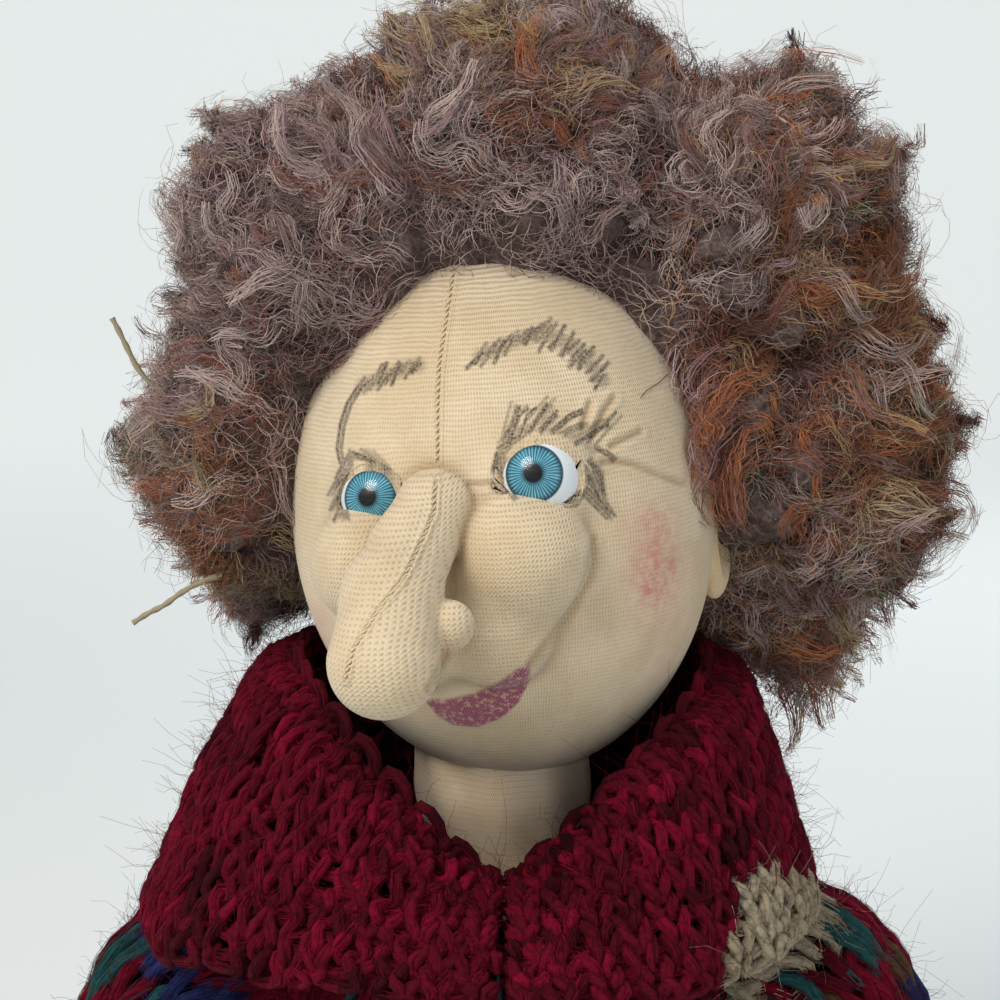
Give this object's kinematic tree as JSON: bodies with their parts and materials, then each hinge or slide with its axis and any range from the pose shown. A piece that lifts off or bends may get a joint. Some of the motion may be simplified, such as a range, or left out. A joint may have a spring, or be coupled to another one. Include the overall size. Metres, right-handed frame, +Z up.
{
  "type": "rag doll",
  "caption": "Seated cloth doll with a long stitched nose, glossy blue eyes, a mop of unspun wool hair and a thick crimson knitted sweater with a large collar.",
  "frame": {"origin": "on the flat of the seat, below the neck's axis", "axes": "+Z up, -Y the way the doll's body faces, +X towards the doll's left hand"},
  "size_m": [0.132, 0.25, 0.2498],
  "materials": {
    "face_jersey": "matte",
    "body_calico": "matte",
    "eye_ball": "gloss",
    "eye_dome": "gloss",
    "wool_hair": "matte",
    "crimson_knit": "matte",
    "trouser_cloth": "matte",
    "boot_felt": "matte",
    "boot_sole": "matte"
  },
  "bodies": {
    "trunk": {"torso": "body_calico", "trousers_seat": "trouser_cloth", "sweater_body": "crimson_knit", "sweater_hem": "crimson_knit", "collar": "crimson_knit"},
    "neck": {"neck": "face_jersey"},
    "head": {"head": "face_jersey", "ear_left": "face_jersey", "ear_right": "face_jersey", "eye_ball_left": "eye_ball", "eye_ball_right": "eye_ball", "eye_dome_left": "eye_dome", "eye_dome_right": "eye_dome", "hair_crown": "wool_hair", "hair_top_left": "wool_hair", "hair_top_right": "wool_hair", "hair_side_left": "wool_hair", "hair_side_right": "wool_hair", "hair_low_left": "wool_hair", "hair_low_right": "wool_hair", "hair_back": "wool_hair", "hair_nape": "wool_hair"},
    "upper_arm_left": {"upper_arm_left": "body_calico", "sleeve_upper_left": "crimson_knit"},
    "forearm_left": {"forearm_left": "face_jersey", "sleeve_lower_left": "crimson_knit", "cuff_left": "crimson_knit"},
    "thigh_left": {"thigh_left": "body_calico", "trouser_thigh_left": "trouser_cloth"},
    "shin_left": {"shin_left": "body_calico", "trouser_shin_left": "trouser_cloth", "boot_left": "boot_felt", "sole_left": "boot_sole"},
    "upper_arm_right": {"upper_arm_right": "body_calico", "sleeve_upper_right": "crimson_knit"},
    "forearm_right": {"forearm_right": "face_jersey", "sleeve_lower_right": "crimson_knit", "cuff_right": "crimson_knit"},
    "thigh_right": {"thigh_right": "body_calico", "trouser_thigh_right": "trouser_cloth"},
    "shin_right": {"shin_right": "body_calico", "trouser_shin_right": "trouser_cloth", "boot_right": "boot_felt", "sole_right": "boot_sole"}
  },
  "joints": [
    {"name": "neck_turn", "type": "hinge", "parent": "trunk", "child": "neck", "pos_m": [0, 0, 0.144], "axis": [0, 0, 1], "range_deg": [-44, 76]},
    {"name": "head_nod", "type": "hinge", "parent": "neck", "child": "head", "pos_m": [0, 0, 0.144], "axis": [0.9613, -0.2756, 0], "range_deg": [-8, 10]},
    {"name": "shoulder_left", "type": "hinge", "parent": "trunk", "child": "upper_arm_left", "pos_m": [0.0368, 0, 0.104], "axis": [1, 0, 0], "range_deg": [-60, 40]},
    {"name": "elbow_left", "type": "hinge", "parent": "upper_arm_left", "child": "forearm_left", "pos_m": [0.0514, -0.00781, 0.05968], "axis": [1, 0, 0], "range_deg": [-45, 20]},
    {"name": "hip_left", "type": "hinge", "parent": "trunk", "child": "thigh_left", "pos_m": [0.018, -0.0242, 0.017], "axis": [1, 0, 0], "range_deg": [-25, 70]},
    {"name": "knee_left", "type": "hinge", "parent": "thigh_left", "child": "shin_left", "pos_m": [0.0254, -0.09461, 0.017], "axis": [0.9945, 0.1045, 0], "range_deg": [-5, 65]},
    {"name": "shoulder_right", "type": "hinge", "parent": "trunk", "child": "upper_arm_right", "pos_m": [-0.0368, 0, 0.104], "axis": [1, 0, 0], "range_deg": [-60, 40]},
    {"name": "elbow_right", "type": "hinge", "parent": "upper_arm_right", "child": "forearm_right", "pos_m": [-0.0514, -0.00781, 0.05968], "axis": [1, 0, 0], "range_deg": [-45, 20]},
    {"name": "hip_right", "type": "hinge", "parent": "trunk", "child": "thigh_right", "pos_m": [-0.018, -0.0242, 0.017], "axis": [1, 0, 0], "range_deg": [-25, 70]},
    {"name": "knee_right", "type": "hinge", "parent": "thigh_right", "child": "shin_right", "pos_m": [-0.0254, -0.09461, 0.017], "axis": [0.9945, -0.1045, 0], "range_deg": [-5, 65]}
  ]
}
